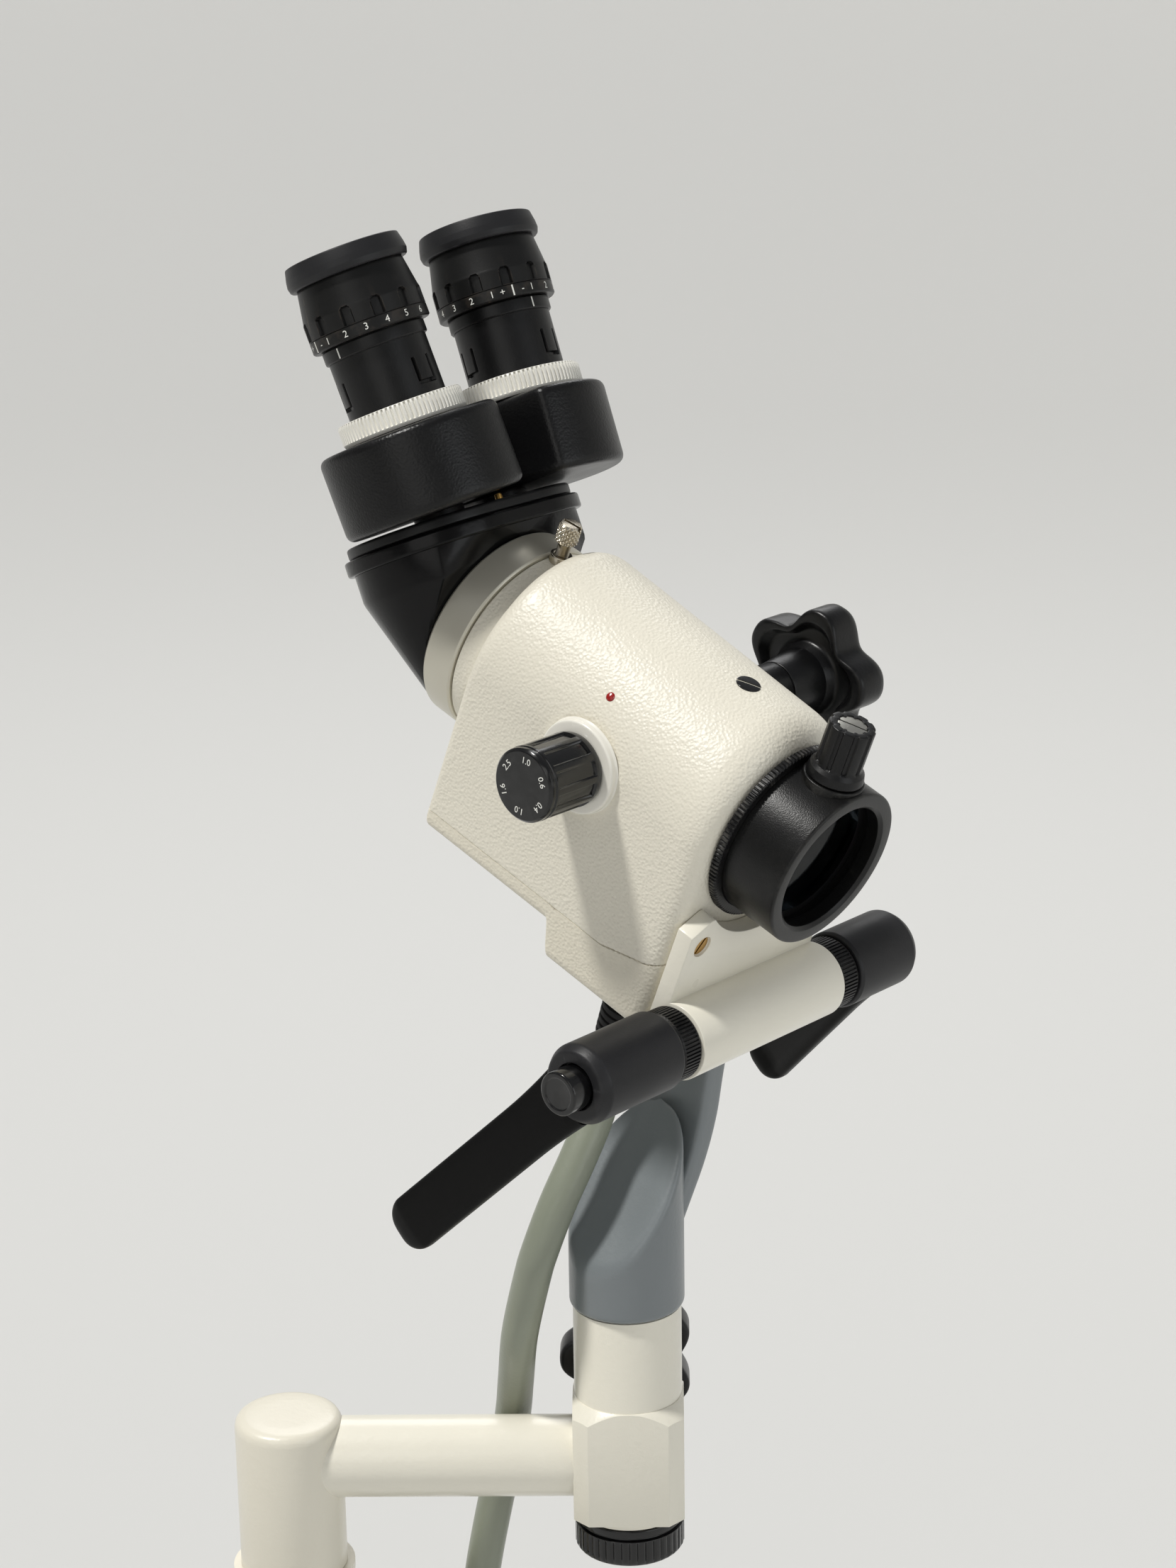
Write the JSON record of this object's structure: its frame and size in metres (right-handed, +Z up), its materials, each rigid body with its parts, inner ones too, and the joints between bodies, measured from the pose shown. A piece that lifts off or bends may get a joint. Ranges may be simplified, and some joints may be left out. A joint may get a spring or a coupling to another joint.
{
  "type": "colposcope",
  "caption": "Binocular colposcope head on a tilting yoke, height column and swing arm, with magnification drum, fine focus, T-bar grips and a coiled light cable.",
  "frame": {"origin": "centre of the post's lower end, at the mouth of its bore", "axes": "+Z up along the post, +X along the cross arm towards the height column"},
  "size_m": [0.2974, 0.2026, 0.6367],
  "materials": {
    "cream_paint": "satin cream hammer paint",
    "post_paint": "satin cream paint",
    "cover_paint": "satin darker cream paint",
    "yoke_paint": "grey-blue paint",
    "black_gloss": "gloss black",
    "black_wrinkle": "black wrinkle paint",
    "black_satin": "satin black",
    "black_rubber": "matt dark rubber",
    "knurled_cream": "finely knurled cream ring",
    "white_boss": "white enamel",
    "satin_aluminium": "satin aluminium",
    "nickel": "nickel-plated steel",
    "brass": "turned brass",
    "glass": "clear optical glass",
    "cable_jacket": "ribbed grey-green jacket"
  },
  "bodies": {
    "stand": {"post_tube": "post_paint", "swing_spindle": "nickel"},
    "swing_arm": {"post_sleeve": "post_paint", "arm_bushes": "nickel", "cross_arm": "cream_paint", "carrier": "cream_paint"},
    "height_wheel": {"height_wheel": "black_satin", "lift_screw": "nickel"},
    "clamp_knob": {"clamp_knob": "black_satin"},
    "lift": {"lift_shaft": "nickel", "lift_nut": "brass", "cable_lower": "cable_jacket", "cable_coil": "cable_jacket", "cable_strap": "black_rubber", "cable_plug": "nickel"},
    "yoke": {"yoke": "yoke_paint", "yoke_bush": "brass", "cable_middle": "cable_jacket"},
    "tilt_knob": {"tilt_knob": "black_satin"},
    "head": {"head_casting": "cream_paint", "bottom_cover": "cover_paint", "drum_bushes": "white_boss", "tilt_pin": "nickel", "objective_barrel": "black_satin", "objective_ring": "black_satin", "handle_bracket": "cream_paint", "handle_rod": "nickel", "head_screws": "brass", "handle_collars": "black_satin", "mount_collar": "cream_paint", "cable_gland": "black_rubber", "light_guide": "nickel", "cable_upper": "cable_jacket"},
    "drum": {"magnification_knob": "black_satin", "lens_drum": "satin_aluminium", "drum_lenses": "glass"},
    "focus_knob": {"focus_knob": "black_satin"},
    "objective_cell": {"objective_cell": "black_satin", "objective_lens": "glass"},
    "thumbscrew": {"thumbscrew": "nickel"},
    "binocular": {"dovetail_ring": "satin_aluminium", "prism_box": "black_gloss", "base_plate": "black_gloss", "tube_prisms": "glass"},
    "left_ocular": {"left_prism_housing": "black_wrinkle", "left_eye_tube": "black_satin", "left_eye_optics": "glass"},
    "left_clamp": {"left_clamp_ring": "knurled_cream"},
    "left_dioptre": {"left_dioptre_ring": "black_satin", "left_eyecup": "black_rubber"},
    "left_grip": {"left_grip": "black_rubber"},
    "left_button": {"left_button": "black_gloss"},
    "right_ocular": {"right_prism_housing": "black_wrinkle", "right_eye_tube": "black_satin", "right_eye_optics": "glass"},
    "right_clamp": {"right_clamp_ring": "knurled_cream"},
    "right_dioptre": {"right_dioptre_ring": "black_satin", "right_eyecup": "black_rubber"},
    "right_grip": {"right_grip": "black_rubber"},
    "right_button": {"right_button": "black_gloss"}
  },
  "joints": [
    {"name": "arm_swing", "type": "hinge", "parent": "stand", "child": "swing_arm", "pos_m": [0, 0, 0.1574], "axis": [0, 0, 1], "range_deg": [-90, 90]},
    {"name": "column_lift", "type": "slide", "parent": "swing_arm", "child": "lift", "axis": [0, 0, 1], "range_m": [0, 0.016]},
    {"name": "wheel_turn", "type": "hinge", "parent": "swing_arm", "child": "height_wheel", "pos_m": [0.1154, 0, 0.1435], "axis": [0, 0, 1], "range_deg": [-1440.1, 0]},
    {"name": "rear_knob_turn", "type": "hinge", "parent": "swing_arm", "child": "clamp_knob", "pos_m": [0.1154, 0.0375, 0.189], "axis": [0, 1, 0], "range_deg": [-180, 180]},
    {"name": "yoke_swivel", "type": "hinge", "parent": "lift", "child": "yoke", "pos_m": [0.1154, 0, 0.235], "axis": [0, 0, 1], "range_deg": [-60, 60]},
    {"name": "head_tilt", "type": "hinge", "parent": "yoke", "child": "head", "pos_m": [0.14333, 0.0327, 0.422], "axis": [0.6494, 0.7604, 0], "range_deg": [-30, 8]},
    {"name": "tilt_knob_turn", "type": "hinge", "parent": "yoke", "child": "tilt_knob", "pos_m": [0.17645, 0.07148, 0.422], "axis": [0.6494, 0.7604, 0], "range_deg": [-180, 180]},
    {"name": "magnification_turn", "type": "hinge", "parent": "head", "child": "drum", "pos_m": [0.12702, -0.00993, 0.42655], "axis": [0.6494, 0.7604, 0], "continuous": true},
    {"name": "focus_slide", "type": "slide", "parent": "head", "child": "objective_cell", "axis": [0.706, -0.603, -0.3714], "range_m": [-0.0024, 0.0024]},
    {"name": "focus_turn", "type": "hinge", "parent": "head", "child": "focus_knob", "pos_m": [0.18124, -0.05624, 0.43034], "axis": [0.2824, -0.2412, 0.9285], "range_deg": [-150.1, 150.1]},
    {"name": "thumbscrew_turn", "type": "hinge", "parent": "head", "child": "thumbscrew", "pos_m": [0.09906, 0.01395, 0.48434], "axis": [0.2824, -0.2412, 0.9285], "range_deg": [-90, 360]},
    {"name": "binocular_turn", "type": "hinge", "parent": "head", "child": "binocular", "pos_m": [0.08607, 0.02505, 0.44809], "axis": [0.706, -0.603, -0.3714], "range_deg": [-30, 30]},
    {"name": "left_eye_spread", "type": "hinge", "parent": "binocular", "child": "left_ocular", "pos_m": [0.07716, 0.05187, 0.49044], "axis": [-0.2628, 0.2979, 0.9177], "range_deg": [-12, 2.5]},
    {"name": "right_eye_spread", "type": "hinge", "parent": "binocular", "child": "right_ocular", "pos_m": [0.05818, 0.02965, 0.49044], "axis": [-0.3353, 0.213, 0.9177], "range_deg": [-2.5, 12]},
    {"name": "left_clamp_turn", "type": "hinge", "parent": "left_ocular", "child": "left_clamp", "pos_m": [0.08362, 0.06327, 0.52418], "axis": [-0.2628, 0.2979, 0.9177], "range_deg": [-20, 60]},
    {"name": "left_dioptre_turn", "type": "hinge", "parent": "left_ocular", "child": "left_dioptre", "pos_m": [0.07547, 0.0725, 0.55263], "axis": [-0.2628, 0.2979, 0.9177], "range_deg": [-150, 150]},
    {"name": "left_grip_turn", "type": "hinge", "parent": "head", "child": "left_grip", "pos_m": [0.19468, 0.01382, 0.34429], "axis": [0.6494, 0.7604, 0], "range_deg": [-20, 20]},
    {"name": "left_button_press", "type": "slide", "parent": "left_grip", "child": "left_button", "axis": [-0.6494, -0.7604, 0], "range_m": [0, 0.003], "stiffness_N_per_m": 400, "springref_m": -0.001},
    {"name": "right_clamp_turn", "type": "hinge", "parent": "right_ocular", "child": "right_clamp", "pos_m": [0.04794, 0.0215, 0.52418], "axis": [-0.3353, 0.213, 0.9177], "range_deg": [-20, 60]},
    {"name": "right_dioptre_turn", "type": "hinge", "parent": "right_ocular", "child": "right_dioptre", "pos_m": [0.03754, 0.0281, 0.55263], "axis": [-0.3353, 0.213, 0.9177], "range_deg": [-150, 150]},
    {"name": "right_grip_turn", "type": "hinge", "parent": "head", "child": "right_grip", "pos_m": [0.11415, -0.08047, 0.34429], "axis": [0.6494, 0.7604, 0], "range_deg": [-20, 20]},
    {"name": "right_button_press", "type": "slide", "parent": "right_grip", "child": "right_button", "axis": [0.6494, 0.7604, 0], "range_m": [0, 0.003], "stiffness_N_per_m": 400, "springref_m": -0.001}
  ],
  "couplings": [
    {"joint": "wheel_turn", "follows": "column_lift", "rad_per_m": -1570.8},
    {"joint": "focus_turn", "follows": "focus_slide", "rad_per_m": 1090.8},
    {"joint": "right_eye_spread", "follows": "left_eye_spread", "ratio": -1}
  ]
}
